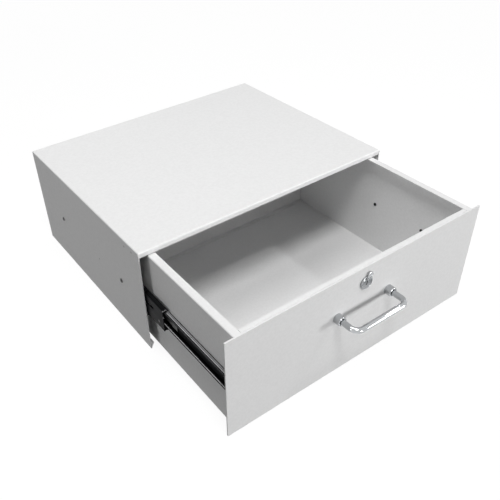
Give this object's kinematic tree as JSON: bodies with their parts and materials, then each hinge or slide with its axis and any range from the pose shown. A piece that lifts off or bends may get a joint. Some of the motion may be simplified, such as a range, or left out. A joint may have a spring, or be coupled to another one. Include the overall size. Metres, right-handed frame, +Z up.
{
  "type": "sliding rack drawer",
  "caption": "Sheet-steel drawer on ball-bearing slides in an open-bottomed housing, with a flat front panel, bow handle and cam lock.",
  "frame": {"origin": "on the surface the housing's feet stand on, under the middle of the whole object with the drawer drawn out as stored", "axes": "+X along the front panel to the right as seen from in front, +Y back into the rack, +Z up"},
  "size_m": [0.4484, 0.584, 0.174],
  "materials": {
    "powder_coated_steel": "light grey fine-texture powder coat on steel sheet",
    "black_slide_steel": "black coated cold-rolled slide section",
    "zinc_plated_steel": "bright zinc plate",
    "ball_steel": "polished bearing steel",
    "bright_chrome": "polished chrome plate",
    "black_plastic": "black moulded nylon"
  },
  "bodies": {
    "housing": {"housing_shell": "powder_coated_steel", "back_panel": "powder_coated_steel", "lock_strike": "powder_coated_steel", "left_outer_slide_member": "black_slide_steel", "right_outer_slide_member": "black_slide_steel", "left_outer_slide_screws": "powder_coated_steel", "right_outer_slide_screws": "powder_coated_steel", "left_rear_bumper": "black_plastic", "right_rear_bumper": "black_plastic"},
    "drawer": {"drawer_tray": "powder_coated_steel", "drawer_front_wall": "powder_coated_steel", "drawer_back_wall": "powder_coated_steel", "front_panel": "powder_coated_steel", "panel_nuts": "zinc_plated_steel", "handle_bar": "bright_chrome", "handle_screws": "zinc_plated_steel", "left_handle_ferrule": "bright_chrome", "right_handle_ferrule": "bright_chrome", "lock_housing": "bright_chrome", "lock_nut": "zinc_plated_steel", "cover_rivet": "zinc_plated_steel", "left_inner_slide_member": "black_slide_steel", "right_inner_slide_member": "black_slide_steel", "left_inner_slide_screws": "black_slide_steel", "right_inner_slide_screws": "black_slide_steel", "left_lever_pivot": "zinc_plated_steel", "right_lever_pivot": "zinc_plated_steel"},
    "lock": {"lock_plug": "bright_chrome", "lock_cam": "zinc_plated_steel", "cam_screw": "zinc_plated_steel"},
    "key_cover": {"dust_cover": "bright_chrome"},
    "left_middle": {"left_middle_slide_member": "black_slide_steel"},
    "left_outer_cage": {"left_outer_ball_cage": "zinc_plated_steel", "left_outer_slide_balls": "ball_steel"},
    "left_inner_cage": {"left_inner_ball_cage": "zinc_plated_steel", "left_inner_slide_balls": "ball_steel"},
    "left_lever": {"left_release_lever": "black_plastic"},
    "right_middle": {"right_middle_slide_member": "black_slide_steel"},
    "right_outer_cage": {"right_outer_ball_cage": "zinc_plated_steel", "right_outer_slide_balls": "ball_steel"},
    "right_inner_cage": {"right_inner_ball_cage": "zinc_plated_steel", "right_inner_slide_balls": "ball_steel"},
    "right_lever": {"right_release_lever": "black_plastic"}
  },
  "joints": [
    {"name": "left_middle_slide", "type": "slide", "parent": "housing", "child": "left_middle", "axis": [0, -1, 0], "range_m": [-0.047, 0.123]},
    {"name": "right_middle_slide", "type": "slide", "parent": "housing", "child": "right_middle", "axis": [0, -1, 0], "range_m": [-0.047, 0.123]},
    {"name": "drawer_slide", "type": "slide", "parent": "left_middle", "child": "drawer", "axis": [0, -1, 0], "range_m": [-0.1405, 0.0295]},
    {"name": "left_outer_cage_slide", "type": "slide", "parent": "housing", "child": "left_outer_cage", "axis": [0, -1, 0], "range_m": [-0.0235, 0.0615]},
    {"name": "right_outer_cage_slide", "type": "slide", "parent": "housing", "child": "right_outer_cage", "axis": [0, -1, 0], "range_m": [-0.0235, 0.0615]},
    {"name": "left_inner_cage_slide", "type": "slide", "parent": "left_middle", "child": "left_inner_cage", "axis": [0, -1, 0], "range_m": [-0.07025, 0.01475]},
    {"name": "right_inner_cage_slide", "type": "slide", "parent": "right_middle", "child": "right_inner_cage", "axis": [0, -1, 0], "range_m": [-0.07025, 0.01475]},
    {"name": "lock_turn", "type": "hinge", "parent": "drawer", "child": "lock", "pos_m": [0, -0.251, 0.1395], "axis": [0, -1, 0], "range_deg": [0, 90]},
    {"name": "key_cover_swing", "type": "hinge", "parent": "drawer", "child": "key_cover", "pos_m": [0, -0.256, 0.1465], "axis": [0, 1, 0], "range_deg": [0, 140]},
    {"name": "left_lever_press", "type": "hinge", "parent": "drawer", "child": "left_lever", "pos_m": [-0.2112, -0.088, 0.0855], "axis": [-1, 0, 0], "range_deg": [0, 7], "stiffness_Nm_per_rad": 0.5},
    {"name": "right_lever_press", "type": "hinge", "parent": "drawer", "child": "right_lever", "pos_m": [0.2112, -0.088, 0.0855], "axis": [1, 0, 0], "range_deg": [0, 7], "stiffness_Nm_per_rad": 0.5}
  ],
  "couplings": [
    {"joint": "right_middle_slide", "follows": "left_middle_slide", "ratio": 1},
    {"joint": "left_outer_cage_slide", "follows": "left_middle_slide", "ratio": 0.5},
    {"joint": "right_outer_cage_slide", "follows": "left_middle_slide", "ratio": 0.5},
    {"joint": "left_inner_cage_slide", "follows": "drawer_slide", "ratio": 0.5},
    {"joint": "right_inner_cage_slide", "follows": "drawer_slide", "ratio": 0.5}
  ]
}
